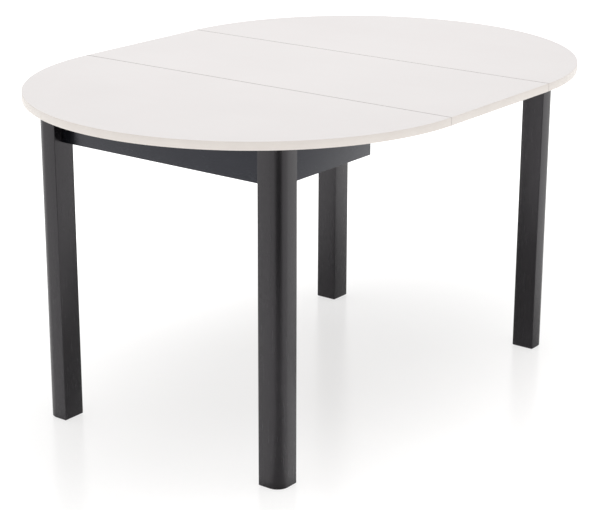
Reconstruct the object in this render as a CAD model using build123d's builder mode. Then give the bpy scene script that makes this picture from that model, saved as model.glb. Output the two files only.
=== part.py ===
from build123d import *
import os

# An extendable dining table on four legs. Its round top is split across the middle, each half
# has its own frame and two legs, and the halves ride apart on wooden runners to take a loose leaf.
#
# Millimetres, +Z up. The origin is on the floor under the middle of the leaf. +X runs along the
# extension and +Y along the seams. The near half is the one at -X, and left is +Y. Each near
# piece has a far twin, its mirror image in the YZ plane. The table stands extended, leaf fitted.

# Top
TABLE_HEIGHT = 760
TOP_RADIUS = 510
LEAF_WIDTH = 400
BOARD = 18
BAND = 1
BAND_EASING = 0.6
SEAM_GAP = 0.3

# Legs, measured from the table's centre to their outward faces
LEG = 57
LEG_FACE_X = 548
LEG_FACE_Y = 336
LEG_NOSE = 28
LEG_ARRIS = 1.5
LEG_FOOT_CHAMFER = 1
GLIDE = 2
GLIDE_RADIUS = 14
GLIDE_PIN_RADIUS = 3
GLIDE_PIN = 15

# Aprons, set back from the legs' outward faces, and the rail that ties their free ends
APRON = 18
APRON_HEIGHT = 93
APRON_SETBACK = 25
RAIL_HEIGHT = 50
RAIL_FROM_SEAM = 12
RAIL_LIFT = 6

# Leg joints: dowels, and a steel plate across the corner that two hanger bolts pull the leg to
DOWEL_RADIUS = 4
DOWEL = 30
DOWEL_PITCH = 64
LEG_BEVEL = 13
PLATE = 2
PLATE_STANDOFF = 14
PLATE_FLANGE = 35
PLATE_HEIGHT = 70
PLATE_SCREW_PITCH = 40
BOLT_RADIUS = 4
BOLT_IN_LEG = 35
BOLT = 68
BOLT_PITCH = 28
BOLT_CHAMFER = 0.8
NUT_RADIUS = 7.5
NUT_HEIGHT = 8
NUT_FLANGE_RADIUS = 8.5
NUT_FLANGE = 1.5

# Angle brackets, and the pan head screws that hold them and the corner plates
BRACKET_LEG = 30
BRACKET_WIDTH = 20
BRACKET_SCREW = 18
END_BRACKET_Y = 60
SIDE_BRACKETS_X = (370, 260)
SCREW_RADIUS = 2
SCREW = 16
SCREW_HEAD_RADIUS = 4
SCREW_HEAD = 2.4
SCREW_HEAD_EASING = 1.4
RECESS_WIDTH = 1
RECESS_LENGTH = 4.6
RECESS_DEPTH = 1.2

# Runners: a near, a middle and a far one side by side, under each side of the top
RUNNER_WIDTH = 25
RUNNER_HEIGHT = 36
RUNNER_INNER_Y = 112
RUNNER_GAP = 0.4
RUNNER_TAIL_X = 495
RUNNER_REACH = 65
MIDDLE_HALF_LENGTH = 260
MIDDLE_DROP = 0.5
GROOVE_DEPTH = 8.3
GROOVE_HEIGHT = 10
GROOVE_RISE = 16
TONGUE_PLAY = 0.3
OVERTRAVEL = 40
STOP_RADIUS = 2.5
STOP_X = 245
STOP_RISE = 8
STOP_PROUD = 3.5
STOP_SUNK = 12
CHANNEL_DEPTH = 4
CHANNEL_HEIGHT = 6
RUNNER_SCREWS_X = (470, 350, 235)
RUNNER_SCREW = 45
SUNK_SCREW_RADIUS = 2.25
SUNK_HEAD_RADIUS = 4.5

# Leaf battens, which drop between the two near runners
BATTEN_WIDTH = 30
BATTEN_HEIGHT = 20
BATTEN_X = 100
BATTEN_PLAY = 1
BATTEN_CHAMFER = 1
BATTEN_SCREW = 30
BATTEN_SCREW_Y = 80

# Locks: a lever under the near half, and a pin under the far half that it hooks when closed
LOCK_PIVOT_X = 228
LOCK_Y = 262
LEVER = 2.5
LEVER_DROP = 6
LEVER_WIDTH = 14
LEVER_BOSS_RADIUS = 9
LEVER_REACH = 57
LEVER_TAB = 12
HOOK_AT = 45
HOOK_WIDTH = 6.8
SHOULDER_RADIUS = 3
PIVOT_PLAY = 0.05
PIVOT_HEAD_RADIUS = 6
PIVOT_HEAD = 3
PIVOT_SCREW_SUNK = 12
SPACER_RADIUS = 8
SPACER_PLAY = 0.1
KEEPER_LENGTH = 30
KEEPER_WIDTH = 20
KEEPER_PIN_RADIUS = 3
KEEPER_PIN = 8
KEEPER_SCREW_X = 10

# Clearance of a hole around its dowel, bolt or screw
FIT = 0.05

# Worked out from the above. Near pieces are built at negative X
SEAM_X = LEAF_WIDTH / 2
UNDERSIDE = TABLE_HEIGHT - BOARD
APRON_BOTTOM = UNDERSIDE - APRON_HEIGHT
APRON_MIDDLE = UNDERSIDE - APRON_HEIGHT / 2
LEG_MIDDLE_X = LEG_FACE_X - LEG / 2
LEG_MIDDLE_Y = LEG_FACE_Y - LEG / 2
LEG_INNER_X = LEG_FACE_X - LEG
LEG_INNER_Y = LEG_FACE_Y - LEG
APRON_INSET = LEG - APRON_SETBACK - APRON
END_APRON_X = LEG_INNER_X + APRON_INSET
SIDE_APRON_Y = LEG_INNER_Y + APRON_INSET
PLATE_FACE = (PLATE_STANDOFF + LEG_BEVEL) / 2**0.5
RAIL_X = SEAM_X + RAIL_FROM_SEAM + APRON
RAIL_BOTTOM = APRON_BOTTOM + RAIL_LIFT
RAIL_MIDDLE = RAIL_BOTTOM + RAIL_HEIGHT / 2
RUNNER_BOTTOM = UNDERSIDE - RUNNER_HEIGHT
MIDDLE_INNER_Y = RUNNER_INNER_Y + RUNNER_WIDTH + RUNNER_GAP
MIDDLE_OUTER_Y = MIDDLE_INNER_Y + RUNNER_WIDTH
FAR_INNER_Y = MIDDLE_OUTER_Y + RUNNER_GAP
GROOVE_MIDDLE = RUNNER_BOTTOM + GROOVE_RISE + GROOVE_HEIGHT / 2
STOP_Z = RUNNER_BOTTOM + STOP_RISE
CHANNEL_END_X = STOP_X - OVERTRAVEL / 2 - STOP_RADIUS - TONGUE_PLAY
LEVER_BOTTOM = UNDERSIDE - LEVER_DROP
KEEPER_X = 2 * SEAM_X - LOCK_PIVOT_X + HOOK_AT

SIDES = (("left", 1), ("right", -1))
DOWEL_HEIGHTS = (APRON_MIDDLE - DOWEL_PITCH / 2, APRON_MIDDLE + DOWEL_PITCH / 2)
BOLT_HEIGHTS = (APRON_MIDDLE - BOLT_PITCH / 2, APRON_MIDDLE + BOLT_PITCH / 2)
PLATE_SCREW_HEIGHTS = (
    APRON_MIDDLE - PLATE_SCREW_PITCH / 2,
    APRON_MIDDLE + PLATE_SCREW_PITCH / 2,
)

os.makedirs("parts", exist_ok=True)


def write(solid, name):
    """Label a finished piece and write it to the file of that name."""
    solid.label = name
    export_step(solid, f"parts/{name}.step")


def write_twins(solid, name):
    """Write a piece of the near half, and its mirror image on the far half."""
    write(solid, f"near_{name}")
    write(solid.mirror(Plane.YZ), f"far_{name}")


def drill(mouths, radius, depth):
    """Drill blind holes into the part being built. Each mouth is a plane that faces out of it."""
    with Locations(*mouths):
        Hole(radius, depth)


def facing(direction, *points):
    """One plane at each point, all facing the same way."""
    return [Plane(origin=point, z_dir=direction) for point in points]


def by_leg(sign, along, across, z):
    """A point given by how far in from a near leg's inward corner it lies, in X and in Y."""
    return (along - LEG_INNER_X, sign * (LEG_INNER_Y - across), z)


# ---- Where the near half's fasteners go. Each plane faces out of the piece they are driven into


def end_apron_dowels(sign, outward):
    """At the joint of the end apron with a leg; outward is 1 out of the leg, -1 out of the apron."""
    x = -END_APRON_X - APRON / 2
    points = [(x, sign * LEG_INNER_Y, z) for z in DOWEL_HEIGHTS]
    return facing((0, -sign * outward, 0), *points)


def side_apron_dowels(sign, outward):
    y = sign * (SIDE_APRON_Y + APRON / 2)
    points = [(-LEG_INNER_X, y, z) for z in DOWEL_HEIGHTS]
    return facing((outward, 0, 0), *points)


def hanger_bolts(sign):
    """On the bevel across the leg's inward corner."""
    middle = -LEG_BEVEL / 2
    points = [by_leg(sign, middle, middle, z) for z in BOLT_HEIGHTS]
    return facing((1, -sign, 0), *points)


def plate_screws(sign):
    """On the inner faces of the two aprons that meet at a leg."""
    reach = PLATE_STANDOFF + APRON_INSET + PLATE_FLANGE / 2
    on_end = [by_leg(sign, -APRON_INSET, reach, z) for z in PLATE_SCREW_HEIGHTS]
    on_side = [by_leg(sign, reach, -APRON_INSET, z) for z in PLATE_SCREW_HEIGHTS]
    return facing((1, 0, 0), *on_end), facing((0, -sign, 0), *on_side)


def top_brackets():
    """Two planes a bracket: on the apron at its top edge, and on the underside of the top."""
    places = [((-END_APRON_X, sign * END_BRACKET_Y), (1, 0)) for name, sign in SIDES]
    for name, sign in SIDES:
        places += [((-x, sign * SIDE_APRON_Y), (0, -sign)) for x in SIDE_BRACKETS_X]
    return places


def bracket_screws_in_aprons():
    return [
        Plane(origin=(x, y, UNDERSIDE - BRACKET_SCREW), z_dir=(dx, dy, 0))
        for (x, y), (dx, dy) in top_brackets()
    ]


def bracket_screws_in_top():
    return [
        Plane(
            origin=(x + dx * BRACKET_SCREW, y + dy * BRACKET_SCREW, UNDERSIDE),
            z_dir=(0, 0, -1),
        )
        for (x, y), (dx, dy) in top_brackets()
    ]


def rail_screws(sign):
    """On the side apron, and on the rail's face that looks away from the seam."""
    in_apron = (-RAIL_X - BRACKET_SCREW, sign * SIDE_APRON_Y, RAIL_MIDDLE)
    in_rail = (-RAIL_X, sign * (SIDE_APRON_Y - BRACKET_SCREW), RAIL_MIDDLE)
    return facing((0, -sign, 0), in_apron), facing((-1, 0, 0), in_rail)


def runner_centre(half, sign):
    """The middle of a fixed runner's width: the near ones lie inside the middle runners."""
    inner = RUNNER_INNER_Y if half == "near" else FAR_INNER_Y
    return sign * (inner + RUNNER_WIDTH / 2)


def runner_screw_points(half):
    return [(-x, runner_centre(half, sign)) for name, sign in SIDES for x in RUNNER_SCREWS_X]


# ---- Fasteners, each built at the origin, pointing down into the piece at its plane


def pan_head_screw():
    """A wood screw with a cross recess, its head resting on a plate."""
    with BuildPart() as screw:
        with BuildSketch(Plane.XY.offset(PLATE)):
            Circle(SCREW_HEAD_RADIUS)
        extrude(amount=SCREW_HEAD)
        fillet(screw.edges().sort_by(Axis.Z)[-1], SCREW_HEAD_EASING)
        with BuildSketch(Plane.XY.offset(PLATE + SCREW_HEAD)):
            Rectangle(RECESS_LENGTH, RECESS_WIDTH)
            Rectangle(RECESS_WIDTH, RECESS_LENGTH)
        extrude(amount=-RECESS_DEPTH, mode=Mode.SUBTRACT)
        with BuildSketch(Plane.XY.offset(PLATE)):
            Circle(SCREW_RADIUS)
        extrude(amount=-SCREW)
        chamfer(screw.edges().sort_by(Axis.Z)[0], SCREW_RADIUS / 2)
    return screw.part


def sunk_screw(length):
    """A countersunk wood screw, its head flush with the face."""
    with BuildPart() as screw:
        with BuildSketch():
            Circle(SUNK_SCREW_RADIUS)
        extrude(amount=-length)
        chamfer(screw.edges().sort_by(Axis.Z)[0], SUNK_SCREW_RADIUS / 2)
        with BuildSketch():
            Circle(SUNK_HEAD_RADIUS)
        extrude(amount=SUNK_SCREW_RADIUS - SUNK_HEAD_RADIUS, taper=45)
        with BuildSketch():
            Rectangle(RECESS_LENGTH, RECESS_WIDTH)
            Rectangle(RECESS_WIDTH, RECESS_LENGTH)
        extrude(amount=-RECESS_DEPTH, mode=Mode.SUBTRACT)
    return screw.part


def sink(mouths, depth):
    """Drill holes for countersunk screws into the part being built."""
    with Locations(*mouths):
        CounterSinkHole(SUNK_SCREW_RADIUS + FIT, SUNK_HEAD_RADIUS + FIT, depth, 90)


PAN_HEAD_SCREW = pan_head_screw()
RUNNER_SCREW_SOLID = sunk_screw(RUNNER_SCREW)
BATTEN_SCREW_SOLID = sunk_screw(BATTEN_SCREW)


# ---- Tops


def half_disc(radius, length):
    """The half disc of the near top, its straight edge that far short of the seam."""
    with BuildSketch(Plane.XY.offset(UNDERSIDE)) as profile:
        with Locations((-SEAM_X, 0)):
            Circle(radius)
        with Locations((-SEAM_X - length, 0)):
            Rectangle(2 * radius, 3 * radius, align=(Align.MAX, Align.CENTER), mode=Mode.INTERSECT)
    return profile.sketch


for half in ("near", "far"):
    with BuildPart() as top_board:
        extrude(half_disc(TOP_RADIUS - BAND, BAND), amount=BOARD)
        drill(bracket_screws_in_top(), SCREW_RADIUS + FIT, SCREW - PLATE)
        runner_screws = [(x, y, UNDERSIDE) for x, y in runner_screw_points(half)]
        drill(
            facing((0, 0, -1), *runner_screws),
            SUNK_SCREW_RADIUS + FIT,
            RUNNER_SCREW - RUNNER_HEIGHT,
        )
        for side, sign in SIDES:
            if half == "near":
                pivot = facing((0, 0, -1), (-LOCK_PIVOT_X, sign * LOCK_Y, UNDERSIDE))
                drill(pivot, SUNK_SCREW_RADIUS + FIT, PIVOT_SCREW_SUNK)
            else:
                ends = [-KEEPER_X - KEEPER_SCREW_X, -KEEPER_X + KEEPER_SCREW_X]
                keeper = [(x, sign * LOCK_Y, UNDERSIDE) for x in ends]
                drill(facing((0, 0, -1), *keeper), SCREW_RADIUS + FIT, SCREW - PLATE)
    board = top_board.part if half == "near" else top_board.part.mirror(Plane.YZ)
    write(board, f"{half}_top_board")

with BuildPart() as rim_band:
    extrude(half_disc(TOP_RADIUS, 0), amount=BOARD)
    extrude(half_disc(TOP_RADIUS - BAND, 0), amount=BOARD, mode=Mode.SUBTRACT)
    outer = rim_band.edges().filter_by(GeomType.CIRCLE).sort_by(SortBy.RADIUS)[-2:]
    fillet(outer, BAND_EASING)
write_twins(rim_band.part, "rim_band")

with BuildPart() as seam_band:
    extrude(half_disc(TOP_RADIUS - BAND, 0), amount=BOARD)
    extrude(half_disc(TOP_RADIUS - BAND, BAND), amount=BOARD, mode=Mode.SUBTRACT)
write_twins(seam_band.part, "seam_band")


# ---- Legs and glides

for side, sign in SIDES:
    with BuildPart() as leg:
        with BuildSketch(Plane.XY.offset(GLIDE)) as section:
            with Locations((-LEG_MIDDLE_X, sign * LEG_MIDDLE_Y)):
                Rectangle(LEG, LEG)
            by_distance = section.vertices().sort_by_distance((0, 0, 0))
            fillet(by_distance[:3], LEG_ARRIS)
            fillet(section.vertices().sort_by_distance((0, 0, 0))[-1], LEG_NOSE)
        extrude(amount=UNDERSIDE - GLIDE)
        chamfer(leg.faces().sort_by(Axis.Z)[0].edges(), LEG_FOOT_CHAMFER)
        with BuildSketch(Plane.XY.offset(APRON_BOTTOM)):
            with BuildLine():
                corner = by_leg(sign, 0, 0, 0)
                Polyline(
                    corner,
                    by_leg(sign, -LEG_BEVEL, 0, 0),
                    by_leg(sign, 0, -LEG_BEVEL, 0),
                    close=True,
                )
            make_face()
        extrude(amount=APRON_HEIGHT, mode=Mode.SUBTRACT)
        drill(end_apron_dowels(sign, 1), DOWEL_RADIUS + FIT, DOWEL / 2 + FIT)
        drill(side_apron_dowels(sign, 1), DOWEL_RADIUS + FIT, DOWEL / 2 + FIT)
        drill(hanger_bolts(sign), BOLT_RADIUS + FIT, BOLT_IN_LEG + FIT)
        foot = (-LEG_MIDDLE_X, sign * LEG_MIDDLE_Y, GLIDE)
        drill(facing((0, 0, -1), foot), GLIDE_PIN_RADIUS + FIT, GLIDE_PIN + FIT)
    write_twins(leg.part, f"{side}_leg")

with BuildPart() as glides:
    with BuildSketch():
        with Locations(*[(-LEG_MIDDLE_X, sign * LEG_MIDDLE_Y) for side, sign in SIDES]):
            Circle(GLIDE_RADIUS)
    extrude(amount=GLIDE)
    with BuildSketch(Plane.XY.offset(GLIDE)):
        with Locations(*[(-LEG_MIDDLE_X, sign * LEG_MIDDLE_Y) for side, sign in SIDES]):
            Circle(GLIDE_PIN_RADIUS)
    extrude(amount=GLIDE_PIN)
write_twins(glides.part, "leg_glides")


# ---- Aprons and cross rail

with BuildPart() as end_apron:
    with BuildSketch(Plane.XY.offset(APRON_BOTTOM)):
        with Locations((-END_APRON_X - APRON / 2, 0)):
            Rectangle(APRON, 2 * LEG_INNER_Y)
    extrude(amount=APRON_HEIGHT)
    for side, sign in SIDES:
        drill(end_apron_dowels(sign, -1), DOWEL_RADIUS + FIT, DOWEL / 2 + FIT)
        drill(plate_screws(sign)[0], SCREW_RADIUS + FIT, SCREW - PLATE)
    in_end_apron = [mouth for mouth in bracket_screws_in_aprons() if mouth.z_dir.X > 0.5]
    drill(in_end_apron, SCREW_RADIUS + FIT, SCREW - PLATE)
write_twins(end_apron.part, "end_apron")

for side, sign in SIDES:
    with BuildPart() as side_apron:
        with BuildSketch(Plane.XY.offset(APRON_BOTTOM)):
            with Locations((-(LEG_INNER_X + SEAM_X) / 2, sign * (SIDE_APRON_Y + APRON / 2))):
                Rectangle(LEG_INNER_X - SEAM_X, APRON)
        extrude(amount=APRON_HEIGHT)
        drill(side_apron_dowels(sign, -1), DOWEL_RADIUS + FIT, DOWEL / 2 + FIT)
        drill(plate_screws(sign)[1], SCREW_RADIUS + FIT, SCREW - PLATE)
        on_this_side = [m for m in bracket_screws_in_aprons() if m.z_dir.Y * sign < -0.5]
        drill(on_this_side, SCREW_RADIUS + FIT, SCREW - PLATE)
        drill(rail_screws(sign)[0], SCREW_RADIUS + FIT, SCREW - PLATE)
    write_twins(side_apron.part, f"{side}_apron")

with BuildPart() as cross_rail:
    with BuildSketch(Plane.XY.offset(RAIL_BOTTOM)):
        with Locations((-RAIL_X + APRON / 2, 0)):
            Rectangle(APRON, 2 * SIDE_APRON_Y)
    extrude(amount=RAIL_HEIGHT)
    for side, sign in SIDES:
        drill(rail_screws(sign)[1], SCREW_RADIUS + FIT, SCREW - PLATE)
write_twins(cross_rail.part, "cross_rail")


# ---- Leg joints

with BuildPart() as dowels:
    for side, sign in SIDES:
        for mouth in end_apron_dowels(sign, 1) + side_apron_dowels(sign, 1):
            with BuildSketch(mouth.offset(-DOWEL / 2)):
                Circle(DOWEL_RADIUS)
            extrude(amount=DOWEL)
write_twins(dowels.part, "dowels")

with BuildPart() as corner_plates:
    for side, sign in SIDES:
        flange = PLATE_STANDOFF + APRON_INSET
        bend = flange + PLATE * (2**0.5 - 1)
        inset = APRON_INSET
        with BuildSketch(Plane.XY.offset(APRON_MIDDLE - PLATE_HEIGHT / 2)):
            with BuildLine():
                Polyline(
                    by_leg(sign, -inset, flange + PLATE_FLANGE, 0),
                    by_leg(sign, -inset, flange, 0),
                    by_leg(sign, flange, -inset, 0),
                    by_leg(sign, flange + PLATE_FLANGE, -inset, 0),
                    by_leg(sign, flange + PLATE_FLANGE, PLATE - inset, 0),
                    by_leg(sign, bend, PLATE - inset, 0),
                    by_leg(sign, PLATE - inset, bend, 0),
                    by_leg(sign, PLATE - inset, flange + PLATE_FLANGE, 0),
                    close=True,
                )
            make_face()
        extrude(amount=PLATE_HEIGHT)
        bolt_mouths = [mouth.offset(PLATE_FACE + PLATE) for mouth in hanger_bolts(sign)]
        drill(bolt_mouths, BOLT_RADIUS + FIT, PLATE)
        for mouths in plate_screws(sign):
            drill([mouth.offset(PLATE) for mouth in mouths], SCREW_RADIUS + FIT, PLATE)
write_twins(corner_plates.part, "corner_plates")

with BuildPart() as bolts:
    for side, sign in SIDES:
        for mouth in hanger_bolts(sign):
            with BuildSketch(mouth.offset(-BOLT_IN_LEG)):
                Circle(BOLT_RADIUS)
            extrude(amount=BOLT)
    chamfer(bolts.edges().filter_by(GeomType.CIRCLE), BOLT_CHAMFER)
write_twins(bolts.part, "hanger_bolts")

with BuildPart() as nuts:
    for side, sign in SIDES:
        for mouth in hanger_bolts(sign):
            seat = mouth.offset(PLATE_FACE + PLATE)
            with BuildSketch(seat):
                Circle(NUT_FLANGE_RADIUS)
                Circle(BOLT_RADIUS + FIT, mode=Mode.SUBTRACT)
            extrude(amount=NUT_FLANGE)
            with BuildSketch(seat.offset(NUT_FLANGE)):
                RegularPolygon(NUT_RADIUS, 6)
                Circle(BOLT_RADIUS + FIT, mode=Mode.SUBTRACT)
            extrude(amount=NUT_HEIGHT - NUT_FLANGE)
write_twins(nuts.part, "flange_nuts")


# ---- Angle brackets and their screws


def angle_bracket():
    """Built with one flange on the YZ plane and the other on the XY plane, below and behind."""
    with BuildPart() as bracket:
        with BuildSketch(Plane.XZ):
            with BuildLine():
                Polyline(
                    (0, 0),
                    (BRACKET_LEG, 0),
                    (BRACKET_LEG, -PLATE),
                    (PLATE, -PLATE),
                    (PLATE, -BRACKET_LEG),
                    (0, -BRACKET_LEG),
                    close=True,
                )
            make_face()
        extrude(amount=BRACKET_WIDTH / 2, both=True)
        drill([Plane(origin=(PLATE, 0, -BRACKET_SCREW), z_dir=(1, 0, 0))], SCREW_RADIUS + FIT, PLATE)
        drill([Plane(origin=(BRACKET_SCREW, 0, -PLATE), z_dir=(0, 0, -1))], SCREW_RADIUS + FIT, PLATE)
    return bracket.part


ANGLE_BRACKET = angle_bracket()

with BuildPart() as brackets:
    for (x, y), (dx, dy) in top_brackets():
        with Locations(Plane(origin=(x, y, UNDERSIDE), x_dir=(dx, dy, 0), z_dir=(0, 0, 1))):
            add(ANGLE_BRACKET)
    for side, sign in SIDES:
        corner = (-RAIL_X, sign * SIDE_APRON_Y, RAIL_MIDDLE)
        with Locations(Plane(origin=corner, x_dir=(-1, 0, 0), z_dir=(0, sign, 0))):
            add(ANGLE_BRACKET)
write_twins(brackets.part, "angle_brackets")

with BuildPart() as screws:
    mouths = bracket_screws_in_aprons() + bracket_screws_in_top()
    for side, sign in SIDES:
        for group in plate_screws(sign) + rail_screws(sign):
            mouths += group
    with Locations(*mouths):
        add(PAN_HEAD_SCREW)
write_twins(screws.part, "plate_screws")


# ---- Runners


def fixed_runner(half, sign):
    """A runner screwed under one half's top, grooved on the side that faces the middle runner."""
    own_end = -1 if half == "near" else 1
    centre = runner_centre(half, sign)
    to_middle = -own_end * sign
    mouth = centre + to_middle * RUNNER_WIDTH / 2
    middle_z = UNDERSIDE - RUNNER_HEIGHT / 2
    with BuildPart() as runner:
        with BuildSketch(Plane.YZ.offset(own_end * RUNNER_TAIL_X)):
            with Locations((centre, middle_z)):
                Rectangle(RUNNER_WIDTH, RUNNER_HEIGHT)
            with Locations((mouth, GROOVE_MIDDLE)):
                Rectangle(2 * GROOVE_DEPTH, GROOVE_HEIGHT, mode=Mode.SUBTRACT)
        extrude(amount=-own_end * (RUNNER_TAIL_X + RUNNER_REACH))
        with BuildSketch(Plane.YZ.offset(own_end * RUNNER_TAIL_X)):
            with Locations((mouth, STOP_Z)):
                Rectangle(2 * CHANNEL_DEPTH, CHANNEL_HEIGHT)
        extrude(amount=-own_end * (RUNNER_TAIL_X - CHANNEL_END_X), mode=Mode.SUBTRACT)
        points = [(own_end * x, centre, RUNNER_BOTTOM) for x in RUNNER_SCREWS_X]
        sink(facing((0, 0, -1), *points), RUNNER_HEIGHT)
    return runner.part


for half in ("near", "far"):
    for side, sign in SIDES:
        write(fixed_runner(half, sign), f"{half}_{side}_runner")
    with BuildPart() as runner_screws:
        own_end = 1 if half == "near" else -1
        points = [(own_end * x, y, RUNNER_BOTTOM) for x, y in runner_screw_points(half)]
        with Locations(*facing((0, 0, -1), *points)):
            add(RUNNER_SCREW_SOLID)
    write(runner_screws.part, f"{half}_runner_screws")

for side, sign in SIDES:
    with BuildPart() as middle_runner:
        with BuildSketch(Plane.YZ.offset(-MIDDLE_HALF_LENGTH)):
            centre = sign * (MIDDLE_INNER_Y + MIDDLE_OUTER_Y) / 2
            with Locations((centre, UNDERSIDE - RUNNER_HEIGHT / 2)):
                Rectangle(RUNNER_WIDTH, RUNNER_HEIGHT - 2 * MIDDLE_DROP)
            tongue = GROOVE_DEPTH - RUNNER_GAP
            with Locations((centre, GROOVE_MIDDLE)):
                Rectangle(RUNNER_WIDTH + 2 * tongue, GROOVE_HEIGHT - 2 * TONGUE_PLAY)
        extrude(amount=2 * MIDDLE_HALF_LENGTH)
        inner_mouth = (-STOP_X, sign * MIDDLE_INNER_Y, STOP_Z)
        outer_mouth = (STOP_X, sign * MIDDLE_OUTER_Y, STOP_Z)
        drill(facing((0, -sign, 0), inner_mouth), STOP_RADIUS + FIT, STOP_SUNK + FIT)
        drill(facing((0, sign, 0), outer_mouth), STOP_RADIUS + FIT, STOP_SUNK + FIT)
    write(middle_runner.part, f"{side}_middle_runner")

with BuildPart() as stop_pins:
    for side, sign in SIDES:
        inner_mouth = Plane(origin=(-STOP_X, sign * MIDDLE_INNER_Y, STOP_Z), z_dir=(0, -sign, 0))
        outer_mouth = Plane(origin=(STOP_X, sign * MIDDLE_OUTER_Y, STOP_Z), z_dir=(0, sign, 0))
        for mouth in (inner_mouth, outer_mouth):
            with BuildSketch(mouth.offset(-STOP_SUNK)):
                Circle(STOP_RADIUS)
            extrude(amount=STOP_SUNK + STOP_PROUD)
write(stop_pins.part, "runner_stop_pins")


# ---- Leaf

LEAF_HALF = SEAM_X - SEAM_GAP
batten_screw_points = [
    (x, y) for x in (-BATTEN_X, BATTEN_X) for y in (-BATTEN_SCREW_Y, BATTEN_SCREW_Y)
]

with BuildPart() as leaf_board:
    with BuildSketch(Plane.XY.offset(UNDERSIDE)):
        Rectangle(2 * (LEAF_HALF - BAND), 2 * (TOP_RADIUS - BAND))
    extrude(amount=BOARD)
    mouths = facing((0, 0, -1), *[(x, y, UNDERSIDE) for x, y in batten_screw_points])
    drill(mouths, SUNK_SCREW_RADIUS + FIT, BATTEN_SCREW - BATTEN_HEIGHT)
write(leaf_board.part, "leaf_board")

for side, sign in SIDES:
    with BuildPart() as end_band:
        with BuildSketch(Plane.XY.offset(UNDERSIDE)):
            with Locations((0, sign * (TOP_RADIUS - BAND / 2))):
                Rectangle(2 * LEAF_HALF, BAND)
        extrude(amount=BOARD)
        outer_face = end_band.faces().sort_by(Axis.Y)[0 if sign < 0 else -1]
        fillet(outer_face.edges().filter_by(Axis.X), BAND_EASING)
    write(end_band.part, f"leaf_{side}_end_band")

for half, direction in (("near", -1), ("far", 1)):
    with BuildPart() as leaf_seam_band:
        with BuildSketch(Plane.XY.offset(UNDERSIDE)):
            with Locations((direction * (LEAF_HALF - BAND / 2), 0)):
                Rectangle(BAND, 2 * (TOP_RADIUS - BAND))
        extrude(amount=BOARD)
    write(leaf_seam_band.part, f"leaf_{half}_seam_band")

    with BuildPart() as batten:
        with BuildSketch(Plane.XY.offset(UNDERSIDE)):
            with Locations((direction * BATTEN_X, 0)):
                Rectangle(BATTEN_WIDTH, 2 * (RUNNER_INNER_Y - BATTEN_PLAY))
        extrude(amount=-BATTEN_HEIGHT)
        chamfer(batten.faces().sort_by(Axis.Z)[0].edges(), BATTEN_CHAMFER)
        here = [(x, y, UNDERSIDE - BATTEN_HEIGHT) for x, y in batten_screw_points if x * direction > 0]
        sink(facing((0, 0, -1), *here), BATTEN_HEIGHT)
    write(batten.part, f"leaf_{half}_batten")

with BuildPart() as batten_screws:
    heads = [(x, y, UNDERSIDE - BATTEN_HEIGHT) for x, y in batten_screw_points]
    with Locations(*facing((0, 0, -1), *heads)):
        add(BATTEN_SCREW_SOLID)
write(batten_screws.part, "leaf_batten_screws")


# ---- Locks

for side, sign in SIDES:
    with BuildPart() as lever:
        with BuildSketch(Plane.XY.offset(LEVER_BOTTOM)):
            with Locations((-LOCK_PIVOT_X, sign * LOCK_Y)):
                Circle(LEVER_BOSS_RADIUS)
            with Locations((-LOCK_PIVOT_X, sign * (LOCK_Y - LEVER_REACH / 2))):
                Rectangle(LEVER_WIDTH, LEVER_REACH)
            with Locations((-LOCK_PIVOT_X, sign * LOCK_Y)):
                Circle(SHOULDER_RADIUS + PIVOT_PLAY, mode=Mode.SUBTRACT)
            with Locations((-LOCK_PIVOT_X + LEVER_WIDTH / 2, sign * (LOCK_Y - HOOK_AT))):
                Rectangle(LEVER_WIDTH, HOOK_WIDTH, mode=Mode.SUBTRACT)
            with Locations((-LOCK_PIVOT_X, sign * (LOCK_Y - HOOK_AT))):
                Circle(HOOK_WIDTH / 2, mode=Mode.SUBTRACT)
        extrude(amount=LEVER)
        with BuildSketch(Plane.XY.offset(LEVER_BOTTOM)):
            with Locations((-LOCK_PIVOT_X, sign * (LOCK_Y - LEVER_REACH + LEVER / 2))):
                Rectangle(LEVER_WIDTH, LEVER)
        extrude(amount=-LEVER_TAB)
    write(lever.part, f"{side}_lock_lever")

lock_points = [(-LOCK_PIVOT_X, sign * LOCK_Y) for side, sign in SIDES]

with BuildPart() as pivot_screws:
    head_top = LEVER_BOTTOM - SPACER_PLAY
    with BuildSketch(Plane.XY.offset(UNDERSIDE)):
        with Locations(*lock_points):
            Circle(SUNK_SCREW_RADIUS)
    extrude(amount=PIVOT_SCREW_SUNK - FIT)
    with BuildSketch(Plane.XY.offset(head_top)):
        with Locations(*lock_points):
            Circle(SHOULDER_RADIUS)
    extrude(amount=UNDERSIDE - head_top)
    with BuildSketch(Plane.XY.offset(head_top)):
        with Locations(*lock_points):
            Circle(PIVOT_HEAD_RADIUS)
    extrude(amount=-PIVOT_HEAD)
    with BuildSketch(Plane.XY.offset(head_top - PIVOT_HEAD)):
        with Locations(*lock_points):
            Rectangle(RECESS_LENGTH, RECESS_WIDTH)
            Rectangle(RECESS_WIDTH, RECESS_LENGTH)
    extrude(amount=RECESS_DEPTH, mode=Mode.SUBTRACT)
write(pivot_screws.part, "lock_pivot_screws")

with BuildPart() as spacers:
    with BuildSketch(Plane.XY.offset(LEVER_BOTTOM + LEVER + SPACER_PLAY)):
        with Locations(*lock_points):
            Circle(SPACER_RADIUS)
            Circle(SHOULDER_RADIUS + FIT, mode=Mode.SUBTRACT)
    extrude(amount=LEVER_DROP - LEVER - SPACER_PLAY)
write(spacers.part, "lock_spacers")

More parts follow.
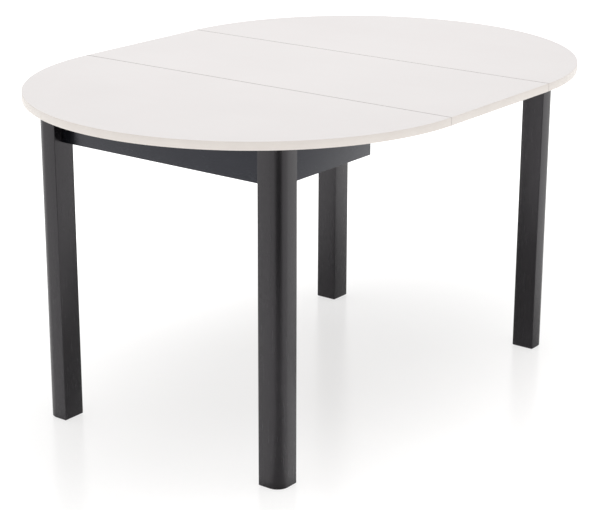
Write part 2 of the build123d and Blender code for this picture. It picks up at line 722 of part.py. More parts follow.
with BuildPart() as keepers:
    keeper_points = [(KEEPER_X, sign * LOCK_Y) for side, sign in SIDES]
    with BuildSketch(Plane.XY.offset(UNDERSIDE - PLATE)):
        with Locations(*keeper_points):
            Rectangle(KEEPER_LENGTH, KEEPER_WIDTH)
            with Locations((-KEEPER_SCREW_X, 0), (KEEPER_SCREW_X, 0)):
                Circle(SCREW_RADIUS + FIT, mode=Mode.SUBTRACT)
    extrude(amount=PLATE)
    with BuildSketch(Plane.XY.offset(UNDERSIDE - PLATE)):
        with Locations(*keeper_points):
            Circle(KEEPER_PIN_RADIUS)
    extrude(amount=-KEEPER_PIN)
write(keepers.part, "lock_keepers")

with BuildPart() as keeper_screws:
    ends = (-KEEPER_SCREW_X, KEEPER_SCREW_X)
    heads = [(x + end, y, UNDERSIDE) for x, y in keeper_points for end in ends]
    with Locations(*facing((0, 0, -1), *heads)):
        add(PAN_HEAD_SCREW)
write(keeper_screws.part, "lock_keeper_screws")
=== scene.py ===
import math
import bmesh
import bpy
from mathutils import Matrix, Vector


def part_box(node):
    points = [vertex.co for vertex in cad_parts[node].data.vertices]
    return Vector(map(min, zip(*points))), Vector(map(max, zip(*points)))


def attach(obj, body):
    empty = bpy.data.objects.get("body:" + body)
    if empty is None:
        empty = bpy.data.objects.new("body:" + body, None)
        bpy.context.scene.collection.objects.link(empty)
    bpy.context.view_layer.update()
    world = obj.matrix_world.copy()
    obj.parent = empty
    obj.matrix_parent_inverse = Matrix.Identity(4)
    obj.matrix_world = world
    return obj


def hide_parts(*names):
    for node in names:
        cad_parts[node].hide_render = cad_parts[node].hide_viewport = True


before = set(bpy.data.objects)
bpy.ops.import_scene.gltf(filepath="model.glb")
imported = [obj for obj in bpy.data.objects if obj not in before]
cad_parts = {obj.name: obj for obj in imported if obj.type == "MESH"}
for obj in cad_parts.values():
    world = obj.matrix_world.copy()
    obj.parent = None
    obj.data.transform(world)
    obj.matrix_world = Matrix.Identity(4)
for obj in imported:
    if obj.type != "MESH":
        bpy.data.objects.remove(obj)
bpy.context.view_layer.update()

# The table in the CAD frame, in metres: +X along the extension, +Y to the left, +Z up.
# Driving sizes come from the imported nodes. The sizes here are those of edges and of the stage.

HALVES = (("near", -1), ("far", 1))
SIDES = (("left", 1), ("right", -1))

# Edging: its thickness, and how far its outer edges are rounded off
BAND = 0.001
RIM_EASE = 0.0007
SEAM_EASE = 0.0008

# Painted shade: joints in the top are painted darker, close to the top of a seam band and close to the
# ends of a rim band
JOINT_SHADE_COLOUR = (0.17, 0.14, 0.135, 1)
SEAM_SHADE_FROM = 0.0014
SEAM_SHADE_TO = 0.0003
SEAM_SHADE_DENSITY = 0.85
JOINT_FROM = 0.0003
JOINT_TO = 0.0012
JOINT_DENSITY = 0.50

# How far the sharp edges of the other pieces are rounded off
WOOD_EASE = 0.0012
RUNNER_EASE = 0.0008
PLATE_EASE = 0.0004
KEEPER_EASE = 0.0003
GLIDE_EASE = 0.0005

# Legs: the radius of the outward corner and of the others, the bevel behind the corner plate
LEG_NOSE = 0.028
ARRIS = 0.0015
LEG_BEVEL = 0.013
FOOT_CHAMFER = 0.001

# Meshing: edges flatter than SMOOTH are shaded smooth. In CAD pieces, points within WELD and faces
# within FLAT of each other are joined, and edges over SHARP are eased.
SMOOTH = math.radians(32)
WELD = 1e-6
FLAT = math.radians(0.5)
SHARP = math.radians(35)
RIM_STEPS = 240
NOSE_STEPS = 20
ARRIS_STEPS = 4
EASE_STEPS = 3
PLATE_STEPS = 2

# Stage: the floor glows, with a painted shadow of the table: it glows less under the table, and its
# dimmer middle lies a little off the table's
FLOOR_REACH = (12.0, 12.0)
FLOOR_CENTRE = (0.12, 0.07)
FLOOR_GLOW_UNDER = 0.61
FLOOR_GLOW_AROUND = 1.16
GLOW_FROM = 0.10
GLOW_TO = 1.35
GLOW_COLOUR = (1, 0.995, 0.99, 1)

# A length along the table counts for this much of one across it
LENGTHWAYS = 0.58

# Cards seen only in reflections lie just over the floor, one over the other: a fill around the
# outward faces of the legs, a flag between the legs, and a flag fanning out from the front leg
FILL_AT = 0.0004
FILL_REACH = (1.8, 1.4)
FLOOR_FILL = 0.42
FLAG_UNDER_AT = 0.0008
FLAG_UNDER_REACH = (1.5, 0.9)
FLAG_UNDER = 0.40
FLAG_UNDER_FROM = 0.25
FLAG_UNDER_TO = 0.90
FAN_AT = 0.0012
FAN_TURN = math.radians(-143.322)
FAN_FROM = (0.59, -1.6)
FAN_TO = (4.5, 2.2)
FAN_LEAN = 0.30
FAN_AXIS_START = 0.84
FAN_APEX = 0.55
FAN_SHORTEST = 0.05
FAN_NARROW = 0.16
FAN_WIDE = 0.90
FAN_DENSITY_FROM = 1.20
FAN_DENSITY_TO = 2.60
FAN_CLOSE = 0.46
FAN_FAR = 0.97

# The fill sets in from this far inside to this far outside of the legs' outward faces, and beside the
# table it ends near the middle of its length
FACE_INSIDE = 0.03
FACE_OUTSIDE = 0.04
CLOSE_FROM = -0.10
CLOSE_TO = 0.15

# Light
WORLD_STRENGTH = 0.70
OVERHEAD_AT = (0.3, 0.4, 3.4)
OVERHEAD_AIM = (0, 0, 0.7)
OVERHEAD_SIZE = 3.0
OVERHEAD_POWER = 44

# Camera, with a long lens from above the near right corner
CAMERA_AT = Vector((-3.2277, -2.4039, 1.6245))
CAMERA_AIM = Vector((-0.1794, -0.1087, 0.3800))
CAMERA_ROLL = -0.003
CAMERA_LENS = 107.44
CAMERA_FAR = 60
SENSOR = 36.0

# ---------------------------------------------------------------- mesh helpers


def new_object(name, mesh):
    """Link a mesh as an object, shaded smooth across its flatter edges."""
    mesh.validate()
    mesh.polygons.foreach_set("use_smooth", [True] * len(mesh.polygons))
    mesh.set_sharp_from_angle(angle=SMOOTH)
    obj = bpy.data.objects.new(name, mesh)
    bpy.context.scene.collection.objects.link(obj)
    return obj


def from_lists(name, points, faces):
    mesh = bpy.data.meshes.new(name)
    mesh.from_pydata([tuple(p) for p in points], [], faces)
    mesh.update()
    return new_object(name, mesh)


def from_bmesh(name, bm):
    bmesh.ops.recalc_face_normals(bm, faces=bm.faces)
    mesh = bpy.data.meshes.new(name)
    bm.to_mesh(mesh)
    bm.free()
    return new_object(name, mesh)


def arc(centre, radius, start, end, steps):
    """Points on an arc in the XY plane, angles in degrees, both ends included."""
    angles = [math.radians(start + (end - start) * i / steps) for i in range(steps + 1)]
    return [(centre[0] + radius * math.cos(a), centre[1] + radius * math.sin(a)) for a in angles]


def inset(outline, depth):
    """A convex counterclockwise outline moved in by depth along its vertex normals."""
    moved = []
    for i, point in enumerate(outline):
        before = Vector(point) - Vector(outline[i - 1])
        after = Vector(outline[(i + 1) % len(outline)]) - Vector(point)
        normal = Vector((-before.y, before.x)).normalized() + Vector((-after.y, after.x)).normalized()
        normal /= 1 + before.normalized().dot(after.normalized())
        moved.append(tuple(Vector(point) + normal * depth))
    return moved


def stacked(bm, sections):
    """Skin a stack of outlines with the same number of points, and close both ends."""
    loops = [[bm.verts.new((x, y, z)) for x, y in outline] for outline, z in sections]
    for low, high in zip(loops, loops[1:]):
        for i in range(len(low)):
            j = (i + 1) % len(low)
            bm.faces.new((low[i], low[j], high[j], high[i]))
    bm.faces.new(list(reversed(loops[0])))
    bm.faces.new(loops[-1])


def swept_band(name, path, low, high, ease):
    """A strip of edging along the path, on its right hand side, its outer edges rounded off."""
    turns = [math.pi / 2 * i / EASE_STEPS for i in range(EASE_STEPS + 1)]
    flat = BAND - ease
    profile = [(0, low)]
    profile += [(flat + ease * math.sin(t), low + ease * (1 - math.cos(t))) for t in turns]
    profile += [(flat + ease * math.cos(t), high - ease * (1 - math.sin(t))) for t in turns]
    profile += [(0, high)]
    bm = bmesh.new()
    loops = []
    for i, point in enumerate(path):
        ahead = Vector(path[min(i + 1, len(path) - 1)]) - Vector(path[max(i - 1, 0)])
        out = Vector((ahead.y, -ahead.x)).normalized()
        loops.append([bm.verts.new((point[0] + out.x * d, point[1] + out.y * d, z)) for d, z in profile])
    for here, there in zip(loops, loops[1:]):
        for i in range(len(profile)):
            j = (i + 1) % len(profile)
            bm.faces.new((here[i], here[j], there[j], there[i]))
    bm.faces.new(list(reversed(loops[0])))
    bm.faces.new(loops[-1])
    return from_bmesh(name, bm)


def eased_block(name, low, high, ease):
    """A squared piece of wood with its edges rounded off."""
    bm = bmesh.new()
    middle = (Vector(low) + Vector(high)) / 2
    size = Vector(high) - Vector(low)
    bmesh.ops.create_cube(bm, size=1, matrix=Matrix.Translation(middle) @ Matrix.Diagonal((*size, 1)))
    bmesh.ops.bevel(bm, geom=bm.edges[:], offset=ease, segments=EASE_STEPS, profile=0.5, affect="EDGES")
    return from_bmesh(name, bm)


# ---------------------------------------------------------------- materials


def tree_of(name):
    """A material with one Principled shader, and its node tree."""
    made = bpy.data.materials.new(name)
    made.use_nodes = True
    tree = made.node_tree
    shader = tree.nodes["Principled BSDF"]
    return made, tree, shader


def add(tree, kind, inputs=(), **settings):
    """A node with its settings, and its inputs given as values or as sockets to link."""
    node = tree.nodes.new(kind)
    for key, value in settings.items():
        setattr(node, key, value)
    for key, value in dict(inputs).items():
        if isinstance(value, bpy.types.NodeSocket):
            tree.links.new(value, node.inputs[key])
        else:
            node.inputs[key].default_value = value
    return node


def object_space(tree, scale=(1, 1, 1)):
    """Object coordinates, stretched; a small scale draws the pattern out along that axis."""
    where = add(tree, "ShaderNodeTexCoord")
    return add(tree, "ShaderNodeMapping", {"Vector": where.outputs["Object"], "Scale": scale}).outputs[0]


def noise(tree, vector, scale, detail=2.0, rough=0.5, distortion=0.0):
    inputs = {"Vector": vector, "Scale": scale, "Detail": detail}
    inputs.update({"Roughness": rough, "Distortion": distortion})
    return add(tree, "ShaderNodeTexNoise", inputs).outputs["Fac"]


def ramp(tree, fac, stops):
    """Colours at places from 0 to 1."""
    node = add(tree, "ShaderNodeValToRGB", {"Fac": fac})
    points = node.color_ramp.elements
    while len(points) < len(stops):
        points.new(0.5)
    for point, (place, colour) in zip(points, stops):
        point.position = place
        point.color = (*colour, 1)
    return node.outputs["Color"]


def spread(tree, fac, low, high, source=(0.3, 0.7)):
    """A noise value stretched to run from low to high."""
    inputs = {"Value": fac, "From Min": source[0], "From Max": source[1], "To Min": low, "To Max": high}
    return add(tree, "ShaderNodeMapRange", inputs).outputs["Result"]


def math_node(tree, operation, *values):
    return add(tree, "ShaderNodeMath", dict(enumerate(values)), operation=operation).outputs[0]


def smooth_step(tree, value, start, end, low, high):
    inputs = {"Value": value, "From Min": start, "From Max": end, "To Min": low, "To Max": high}
    return add(tree, "ShaderNodeMapRange", inputs, interpolation_type="SMOOTHSTEP").outputs["Result"]


def place_along(tree, axis):
    """A point's place along X, Y or Z, in the piece's own coordinates."""
    return add(tree, "ShaderNodeSeparateXYZ", {"Vector": object_space(tree)}).outputs[axis]


def mixed(tree, colour, other, fac, blend="MIX"):
    """The colour with as much of the other one as fac says."""
    node = add(tree, "ShaderNodeMix", {"Factor": fac}, data_type="RGBA", blend_type=blend)
    tree.links.new(colour, node.inputs["A"])
    if isinstance(other, bpy.types.NodeSocket):
        tree.links.new(other, node.inputs["B"])
    else:
        node.inputs["B"].default_value = other
    return node.outputs["Result"]


def bumps(tree, shader, layers):
    """Chain bump layers of (height socket, strength, distance) into the shader's normal."""
    normal = None
    for height, strength, distance in layers:
        inputs = {"Height": height, "Strength": strength, "Distance": distance}
        if normal:
            inputs["Normal"] = normal
        normal = add(tree, "ShaderNodeBump", inputs).outputs["Normal"]
    tree.links.new(normal, shader.inputs["Normal"])


def white_laminate():
    """Satin white melamine with a faint pearl texture, very slight clouding and a soft sheen."""
    made, tree, shader = tree_of("white_laminate")
    space = object_space(tree)
    clouds = noise(tree, space, 3.0, detail=3.0)
    colour = ramp(tree, clouds, [(0.35, (0.780, 0.747, 0.739)), (0.65, (0.796, 0.765, 0.757))])
    tree.links.new(colour, shader.inputs["Base Color"])
    smears = noise(tree, object_space(tree, (1, 0.35, 1)), 14.0, detail=4.0, distortion=0.6)
    tree.links.new(spread(tree, smears, 0.36, 0.43), shader.inputs["Roughness"])
    pearl = noise(tree, space, 900.0, detail=2.0)
    swell = noise(tree, space, 90.0, detail=1.0)
    bumps(tree, shader, [(swell, 0.05, 0.0003), (pearl, 0.10, 0.00008)])
    return made


def edge_band(name, darkening):
    """Warmer ABS edging, with faint scraper chatter across its run, and painted shade darkening it at
    its joints.
    """
    made, tree, shader = tree_of(name)
    tone = noise(tree, object_space(tree), 25.0, detail=3.0)
    colour = ramp(tree, tone, [(0.3, (0.733, 0.682, 0.640)), (0.7, (0.758, 0.710, 0.667))])
    # Painted shade: the colour darkens towards the joints
    colour = mixed(tree, colour, JOINT_SHADE_COLOUR, darkening(tree))
    tree.links.new(colour, shader.inputs["Base Color"])
    chatter = noise(tree, object_space(tree, (1, 1, 0.15)), 60.0, detail=3.0)
    tree.links.new(spread(tree, chatter, 0.34, 0.46), shader.inputs["Roughness"])
    grainy = noise(tree, object_space(tree), 1200.0, detail=1.0)
    bumps(tree, shader, [(chatter, 0.06, 0.0002), (grainy, 0.06, 0.00005)])
    return made


def shaded_seam_top(tree):
    """Painted shade on the uppermost edge of a seam band."""
    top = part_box("leaf_board")[1][2]
    height = place_along(tree, "Z")
    # Painted shade: darker towards the top of the seam band
    return smooth_step(tree, height, top - SEAM_SHADE_FROM, top - SEAM_SHADE_TO, 0.0, SEAM_SHADE_DENSITY)


def joint_shadow(tree):
    """A dark line across the rim at each seam."""
    seam_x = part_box("leaf_left_end_band")[1][0]
    past = math_node(tree, "SUBTRACT", math_node(tree, "ABSOLUTE", place_along(tree, "X")), seam_x)
    away = math_node(tree, "ABSOLUTE", past)
    return smooth_step(tree, away, JOINT_FROM, JOINT_TO, JOINT_DENSITY, 0.0)


def black_lacquer(name, along, dark, light, sheen):
    """Semi-gloss black lacquer over wood: pores drawn out along the grain, a little orange peel."""
    made, tree, shader = tree_of(name)
    stretched = object_space(tree, along)
    grain = noise(tree, stretched, 420.0, detail=4.0, rough=0.6, distortion=0.3)
    figure = noise(tree, stretched, 60.0, detail=3.0, distortion=1.0)
    colour = ramp(tree, figure, [(0.3, dark), (0.7, light)])
    tree.links.new(colour, shader.inputs["Base Color"])
    tree.links.new(spread(tree, grain, 0.22, 0.28), shader.inputs["Roughness"])
    shader.inputs["Specular Tint"].default_value = (*sheen, 1)
    peel = noise(tree, object_space(tree), 260.0, detail=1.5)
    swell = noise(tree, stretched, 25.0, detail=1.0)
    bumps(tree, shader, [(swell, 0.05, 0.0008), (peel, 0.06, 0.00015), (grain, 0.07, 0.00008)])
    return made


def beech(name, along, across):
    """Planed beech: warm straight grain with short darker flecks."""
    made, tree, shader = tree_of(name)
    stretched = object_space(tree, along)
    bands = noise(tree, stretched, 90.0, detail=5.0, rough=0.55, distortion=0.8)
    flecks = noise(tree, object_space(tree, across), 620.0, detail=2.0)
    light, middle, dark = (0.60, 0.40, 0.235), (0.52, 0.33, 0.18), (0.40, 0.235, 0.12)
    body = ramp(tree, bands, [(0.25, dark), (0.5, middle), (0.72, light)])
    mark = ramp(tree, flecks, [(0.60, (1, 1, 1)), (0.68, (0.72, 0.66, 0.60))])
    tree.links.new(mixed(tree, body, mark, 1.0, "MULTIPLY"), shader.inputs["Base Color"])
    tree.links.new(spread(tree, bands, 0.50, 0.66), shader.inputs["Roughness"])
    bumps(tree, shader, [(bands, 0.15, 0.0003), (flecks, 0.12, 0.0001)])
    return made


def zinc_steel():
    """Bright zinc plate: bluish grey, cloudy, with fine rolling marks."""
    made, tree, shader = tree_of("zinc_steel")
    clouds = noise(tree, object_space(tree), 140.0, detail=3.0, distortion=0.5)
    colour = ramp(tree, clouds, [(0.3, (0.50, 0.51, 0.53)), (0.7, (0.66, 0.66, 0.65))])
    tree.links.new(colour, shader.inputs["Base Color"])
    shader.inputs["Metallic"].default_value = 1.0
    rolled = noise(tree, object_space(tree, (1, 1, 0.08)), 900.0, detail=2.0)
    tree.links.new(spread(tree, rolled, 0.24, 0.40), shader.inputs["Roughness"])
    bumps(tree, shader, [(rolled, 0.10, 0.00005)])
    return made


def nylon():
    """Moulded dark nylon with a fine spark-eroded grain."""
    made, tree, shader = tree_of("nylon")
    tone = noise(tree, object_space(tree), 60.0, detail=2.0)
    colour = ramp(tree, tone, [(0.3, (0.030, 0.030, 0.032)), (0.7, (0.042, 0.042, 0.044))])
    tree.links.new(colour, shader.inputs["Base Color"])
    grain = noise(tree, object_space(tree), 1500.0, detail=2.0)
    tree.links.new(spread(tree, grain, 0.42, 0.56), shader.inputs["Roughness"])
    bumps(tree, shader, [(grain, 0.25, 0.00006)])
    return made


LAMINATE = white_laminate()
RIM_EDGING = edge_band("edge_band_rim", joint_shadow)
SEAM_EDGING = edge_band("edge_band_seam", shaded_seam_top)
LEG_TONES = (0.0022, 0.0018, 0.0022), (0.0042, 0.0036, 0.0042), (0.975, 0.935, 0.985)
APRON_TONES = (0.0018, 0.0021, 0.0030), (0.0034, 0.0039, 0.0052), (0.73, 0.745, 0.86)
LACQUER_UP = black_lacquer("black_lacquer_upright", (1, 1, 0.045), *LEG_TONES)
LACQUER_X = black_lacquer("black_lacquer_lengthways", (0.045, 1, 1), *APRON_TONES)
LACQUER_Y = black_lacquer("black_lacquer_crossways", (1, 0.045, 1), *APRON_TONES)
BEECH_X = beech("beech_lengthways", (0.05, 1, 1), (0.10, 1, 1))
BEECH_Y = beech("beech_crossways", (1, 0.05, 1), (1, 0.10, 1))
ZINC = zinc_steel()
NYLON = nylon()


def dress(obj, material, body, nodes):
    """Give a new piece its material, its body, and the CAD nodes it stands for."""
    obj.data.materials.append(material)
    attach(obj, body)
    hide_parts(*nodes)


def finish_cad(material, *names):
    """Give kept CAD nodes a better material."""
    for name in names:
        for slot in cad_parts[name].material_slots:
            slot.material = material


# ---------------------------------------------------------------- tops


def half_top(half, direction):
    """The board of one half with its curved rim band and its straight seam band."""
    low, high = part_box(f"{half}_top_board")
    rim_low, rim_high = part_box(f"{half}_rim_band")
    radius = rim_high[1]
    seam_x = direction * min(abs(rim_low[0]), abs(rim_high[0]))
    start = 90 if direction < 0 else -90
    core = arc((seam_x, 0), radius - BAND, start, start + 180, RIM_STEPS)
    outward = [p for p in core if abs(p[0]) >= abs(seam_x) + BAND]
    edge_y = math.sqrt((radius - BAND) ** 2 - BAND**2)
    corner_x = seam_x + direction * BAND
    outline = [(corner_x, -direction * edge_y)] + outward + [(corner_x, direction * edge_y)]
    bm = bmesh.new()
    stacked(bm, [(outline, low[2]), (outline, high[2])])
    board = from_bmesh(f"{half}_top_board_fine", bm)
    dress(board, LAMINATE, f"{half}_half", [f"{half}_top_board"])

    rim = swept_band(f"{half}_rim_band_fine", core, low[2], high[2], RIM_EASE)
    dress(rim, RIM_EDGING, f"{half}_half", [f"{half}_rim_band"])

    ends = [(corner_x, direction * edge_y), (corner_x, -direction * edge_y)]
    seam = swept_band(f"{half}_seam_band_fine", ends, low[2], high[2], SEAM_EASE)
    dress(seam, SEAM_EDGING, f"{half}_half", [f"{half}_seam_band"])


for half, direction in HALVES:
    half_top(half, direction)


def leaf_edging(node, path, material, ease):
    low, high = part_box(node)
    band = swept_band(f"{node}_fine", path, low[2], high[2], ease)
    dress(band, material, "leaf", [node])


low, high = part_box("leaf_board")
bm = bmesh.new()
outline = [(low[0], low[1]), (high[0], low[1]), (high[0], high[1]), (low[0], high[1])]
stacked(bm, [(outline, low[2]), (outline, high[2])])
leaf = from_bmesh("leaf_board_fine", bm)
dress(leaf, LAMINATE, "leaf", ["leaf_board"])
near_seam = [(low[0], high[1]), (low[0], low[1])]
far_seam = [(high[0], low[1]), (high[0], high[1])]
left_end = [(high[0] + BAND, high[1]), (low[0] - BAND, high[1])]
right_end = [(low[0] - BAND, low[1]), (high[0] + BAND, low[1])]
leaf_edging("leaf_near_seam_band", near_seam, SEAM_EDGING, SEAM_EASE)
leaf_edging("leaf_far_seam_band", far_seam, SEAM_EDGING, SEAM_EASE)
leaf_edging("leaf_left_end_band", left_end, RIM_EDGING, RIM_EASE)
leaf_edging("leaf_right_end_band", right_end, RIM_EDGING, RIM_EASE)


# ---------------------------------------------------------------- legs


def leg(half, direction, side, sign):
    """A square leg, nosed on its outward corner, bevelled inside the aprons for the bolts."""
    node = f"{half}_{side}_leg"
    low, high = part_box(node)
    apron_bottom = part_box(f"{half}_end_apron")[0][2]
    size = high[0] - low[0]
    centre = Vector(((low[0] + high[0]) / 2, (low[1] + high[1]) / 2))

    def place(outline):
        """Turn a section drawn for the +X +Y leg to this leg's corner, kept counterclockwise."""
        points = [(centre.x + direction * x, centre.y + sign * y) for x, y in outline]
        return points if direction * sign > 0 else points[::-1]

    reach = size / 2
    nose = arc((reach - LEG_NOSE, reach - LEG_NOSE), LEG_NOSE, 0, 90, NOSE_STEPS)
    left = arc((-reach + ARRIS, reach - ARRIS), ARRIS, 90, 180, ARRIS_STEPS)
    right = arc((reach - ARRIS, -reach + ARRIS), ARRIS, 270, 360, ARRIS_STEPS)
    inner = arc((-reach + ARRIS, -reach + ARRIS), ARRIS, 180, 270, ARRIS_STEPS)
    cut = [(-reach, -reach + LEG_BEVEL), (-reach + LEG_BEVEL, -reach)]
    full = nose + left + [cut[0]] + inner + [cut[1]] + right
    # The bevel has as many points as the arris that it takes away, so that the sections can be skinned
    steps = len(inner) + 1
    bevel = [tuple(Vector(cut[0]).lerp(Vector(cut[1]), i / steps)) for i in range(1, steps)]
    bevelled = nose + left + [cut[0]] + bevel + [cut[1]] + right
    sections = [
        (inset(place(full), FOOT_CHAMFER), low[2]),
        (place(full), low[2] + FOOT_CHAMFER),
        (place(full), apron_bottom),
        (place(bevelled), apron_bottom),
        (place(bevelled), high[2]),
    ]
    bm = bmesh.new()
    stacked(bm, sections)
    bmesh.ops.remove_doubles(bm, verts=bm.verts[:], dist=WELD)
    piece = from_bmesh(f"{node}_fine", bm)
    dress(piece, LACQUER_UP, f"{half}_half", [node])


for half, direction in HALVES:
    for side, sign in SIDES:
        leg(half, direction, side, sign)


# ---------------------------------------------------------------- aprons, rails and battens


def wooden_block(node, material, body):
    piece = eased_block(f"{node}_fine", *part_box(node), WOOD_EASE)
    dress(piece, material, body, [node])


for half, _ in HALVES:
    wooden_block(f"{half}_end_apron", LACQUER_Y, f"{half}_half")
    wooden_block(f"{half}_cross_rail", LACQUER_Y, f"{half}_half")
    wooden_block(f"leaf_{half}_batten", BEECH_Y, "leaf")
    for side, _ in SIDES:
        wooden_block(f"{half}_{side}_apron", LACQUER_X, f"{half}_half")


# ---------------------------------------------------------------- runners and hardware


def eased_copy(node, material, ease, body):
    """A CAD piece with its flat faces joined up again and its sharp edges rounded off."""
    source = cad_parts[node]
    bm = bmesh.new()
    bm.from_mesh(source.data)
    bm.transform(source.matrix_world)
    bmesh.ops.remove_doubles(bm, verts=bm.verts[:], dist=WELD)
    bmesh.ops.dissolve_limit(bm, angle_limit=FLAT, verts=bm.verts[:], edges=bm.edges[:])
    edges = [e for e in bm.edges if len(e.link_faces) == 2 and e.calc_face_angle() > SHARP]
    bmesh.ops.bevel(
        bm,
        geom=edges,
        offset=ease,
        segments=PLATE_STEPS,
        profile=0.5,
        affect="EDGES",
        clamp_overlap=True,
    )
    dress(from_bmesh(f"{node}_fine", bm), material, body, [node])


for half, _ in HALVES:
    body = f"{half}_half"
    for side, _ in SIDES:
        eased_copy(f"{half}_{side}_runner", BEECH_X, RUNNER_EASE, body)
    eased_copy(f"{half}_corner_plates", ZINC, PLATE_EASE, body)
    eased_copy(f"{half}_angle_brackets", ZINC, PLATE_EASE, body)
    eased_copy(f"{half}_leg_glides", NYLON, GLIDE_EASE, body)
    finish_cad(BEECH_Y, f"{half}_dowels")
    metal = ("hanger_bolts", "flange_nuts", "plate_screws", "runner_screws")
    finish_cad(ZINC, *[f"{half}_{name}" for name in metal])
for side, _ in SIDES:
    eased_copy(f"{side}_middle_runner", BEECH_X, RUNNER_EASE, "middle_runners")
    eased_copy(f"{side}_lock_lever", ZINC, PLATE_EASE, f"{side}_lock_lever")
eased_copy("lock_keepers", ZINC, KEEPER_EASE, "far_half")
finish_cad(ZINC, "runner_stop_pins", "leaf_batten_screws", "lock_pivot_screws", "lock_keeper_screws")
finish_cad(NYLON, "lock_spacers")


# ---------------------------------------------------------------- stage, light and camera


def flat_card(name, material, low, high):
    corners = [(low[0], low[1], 0), (high[0], low[1], 0), (high[0], high[1], 0), (low[0], high[1], 0)]
    card = from_lists(name, corners, [(0, 1, 2, 3)])
    card.data.materials.append(material)
    return card


def away_from_table(tree):
    """How far a point of the floor lies from under the middle of the table, less along it."""
    shorter = object_space(tree, (LENGTHWAYS, 1, 0))
    return add(tree, "ShaderNodeVectorMath", {0: shorter}, operation="LENGTH").outputs["Value"]


def floor_material():
    """White studio paper that glows strongly around the table and less under it, where the dimmer glow
    is a painted shadow of the table.
    """
    made, tree, shader = tree_of("studio_floor")
    away = away_from_table(tree)
    # Painted shadow: the floor's glow is dimmer under the table
    shadowed_glow = smooth_step(tree, away, GLOW_FROM, GLOW_TO, FLOOR_GLOW_UNDER, FLOOR_GLOW_AROUND)
    tree.links.new(shadowed_glow, shader.inputs["Emission Strength"])
    shader.inputs["Emission Color"].default_value = GLOW_COLOUR
    tone = noise(tree, object_space(tree), 2.0, detail=2.0)
    colour = ramp(tree, tone, [(0.3, (0.27, 0.27, 0.27)), (0.7, (0.29, 0.29, 0.29))])
    tree.links.new(colour, shader.inputs["Base Color"])
    shader.inputs["Roughness"].default_value = 0.20
    shader.inputs["Specular IOR Level"].default_value = 0.40
    return made


def bare_material(name):
    """A material without its Principled shader: its tree, and a clear shader's output."""
    made, tree, shader = tree_of(name)
    tree.nodes.remove(shader)
    return made, tree, add(tree, "ShaderNodeBsdfTransparent").outputs[0]


def from_above(tree, value):
    """The value on a card's upper side, and 0 on its lower side."""
    below = add(tree, "ShaderNodeNewGeometry").outputs["Backfacing"]
    return math_node(tree, "MULTIPLY", value, math_node(tree, "SUBTRACT", 1.0, below))


def flag_material(name, density):
    """A black flag as dense as the given function says."""
    made, tree, clear = bare_material(name)
    opacity = from_above(tree, density(tree))
    black = add(tree, "ShaderNodeBsdfDiffuse", {"Color": (0.01, 0.01, 0.01, 1)}).outputs[0]
    part = add(tree, "ShaderNodeMixShader", {"Fac": opacity, 1: clear, 2: black}).outputs[0]
    tree.links.new(part, tree.nodes["Material Output"].inputs["Surface"])
    return made


def fill_material(name):
    """Light added to the floor around the legs, which keeps their faces even down to the feet."""
    made, tree, clear = bare_material(name)
    lack = smooth_step(tree, away_from_table(tree), GLOW_FROM, GLOW_TO, FLOOR_FILL, 0.0)
    strength = from_above(tree, math_node(tree, "MULTIPLY", lack, beyond_legs(tree)))
    glow = add(tree, "ShaderNodeEmission", {"Color": GLOW_COLOUR, "Strength": strength}).outputs[0]
    both = add(tree, "ShaderNodeAddShader", {0: clear, 1: glow}).outputs[0]
    tree.links.new(both, tree.nodes["Material Output"].inputs["Surface"])
    return made


def beyond_legs(tree):
    """1 past the near legs' end faces and past the near right leg's side face, else 0."""
    end_x, side_y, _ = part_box("near_right_leg")[0]
    along = place_along(tree, "X")
    across = place_along(tree, "Y")
    end = smooth_step(tree, along, end_x - FACE_OUTSIDE, end_x + FACE_INSIDE, 1.0, 0.0)
    side = smooth_step(tree, across, side_y - FACE_OUTSIDE, side_y + FACE_INSIDE, 1.0, 0.0)
    close = smooth_step(tree, along, CLOSE_FROM, CLOSE_TO, 1.0, 0.0)
    return math_node(tree, "MAXIMUM", end, math_node(tree, "MULTIPLY", side, close))


def between_legs(tree):
    """How dense the flag under the table is."""
    dense = smooth_step(tree, away_from_table(tree), FLAG_UNDER_FROM, FLAG_UNDER_TO, FLAG_UNDER, 0.0)
    return math_node(tree, "MULTIPLY", dense, math_node(tree, "SUBTRACT", 1.0, beyond_legs(tree)))


def fan(tree):
    """How dense the front flag is: more further out, and fading to both sides of its axis."""
    along = place_along(tree, "X")
    start = math_node(tree, "SUBTRACT", along, FAN_AXIS_START)
    axis = math_node(tree, "MULTIPLY", start, FAN_LEAN)
    aside = math_node(tree, "ABSOLUTE", math_node(tree, "SUBTRACT", place_along(tree, "Y"), axis))
    dense = smooth_step(tree, along, FAN_DENSITY_FROM, FAN_DENSITY_TO, FAN_CLOSE, FAN_FAR)
    reach = math_node(tree, "MAXIMUM", math_node(tree, "SUBTRACT", along, FAN_APEX), FAN_SHORTEST)
    kept = smooth_step(tree, math_node(tree, "DIVIDE", aside, reach), FAN_NARROW, FAN_WIDE, 1.0, 0.0)
    return math_node(tree, "MULTIPLY", dense, kept)


def reflected_card(name, material, low, high, height, turn=0):
    """A card that shows in reflections only."""
    card = flat_card(name, material, low, high)
    card.location = (0, 0, height)
    card.rotation_euler = (0, 0, turn)
    card.visible_camera = False
    card.visible_diffuse = False
    card.visible_shadow = False
    card.visible_transmission = False
    card.visible_volume_scatter = False


def around_centre(reach):
    """The low and high corners of a card that reaches this far from its middle."""
    return (-reach[0], -reach[1]), reach


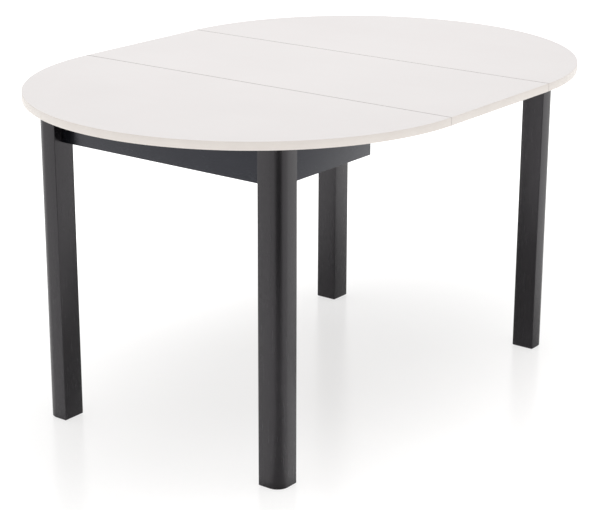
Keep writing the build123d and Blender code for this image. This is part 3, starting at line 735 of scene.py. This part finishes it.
floor = flat_card("studio_floor", floor_material(), *around_centre(FLOOR_REACH))
floor.location = (*FLOOR_CENTRE, 0)
fill = fill_material("fill_around_legs")
reflected_card("studio_fill", fill, *around_centre(FILL_REACH), FILL_AT)
flag = flag_material("flag_under", between_legs)
reflected_card("studio_flag_under", flag, *around_centre(FLAG_UNDER_REACH), FLAG_UNDER_AT)
flag = flag_material("flag_front", fan)
reflected_card("studio_flag_front", flag, FAN_FROM, FAN_TO, FAN_AT, FAN_TURN)


def world_light():
    world = bpy.data.worlds.new("studio")
    world.use_nodes = True
    back = world.node_tree.nodes["Background"]
    back.inputs["Color"].default_value = (1, 1, 1, 1)
    back.inputs["Strength"].default_value = WORLD_STRENGTH
    bpy.context.scene.world = world


def overhead_light():
    lamp = bpy.data.lights.new("overhead", "AREA")
    lamp.shape = "RECTANGLE"
    lamp.size = OVERHEAD_SIZE
    lamp.size_y = OVERHEAD_SIZE
    lamp.energy = OVERHEAD_POWER
    obj = bpy.data.objects.new("overhead", lamp)
    obj.location = OVERHEAD_AT
    down = Vector(OVERHEAD_AIM) - Vector(OVERHEAD_AT)
    obj.rotation_euler = down.to_track_quat("-Z", "Y").to_euler()
    bpy.context.scene.collection.objects.link(obj)


def place_camera():
    lens = bpy.data.cameras.new("camera")
    lens.sensor_width = SENSOR
    lens.lens = CAMERA_LENS
    lens.clip_end = CAMERA_FAR
    camera = bpy.data.objects.new("camera", lens)
    bpy.context.scene.collection.objects.link(camera)
    forward = (CAMERA_AIM - CAMERA_AT).normalized()
    level = forward.cross(Vector((0, 0, 1))).normalized()
    down = forward.cross(level).normalized()
    right = level * math.cos(CAMERA_ROLL) + down * math.sin(CAMERA_ROLL)
    axes = Matrix((right, right.cross(forward), -forward)).transposed().to_4x4()
    camera.matrix_world = Matrix.Translation(CAMERA_AT) @ axes
    bpy.context.scene.camera = camera


world_light()
overhead_light()
place_camera()

bpy.context.scene.view_settings.view_transform = "Standard"
bpy.context.scene.view_settings.look = "None"
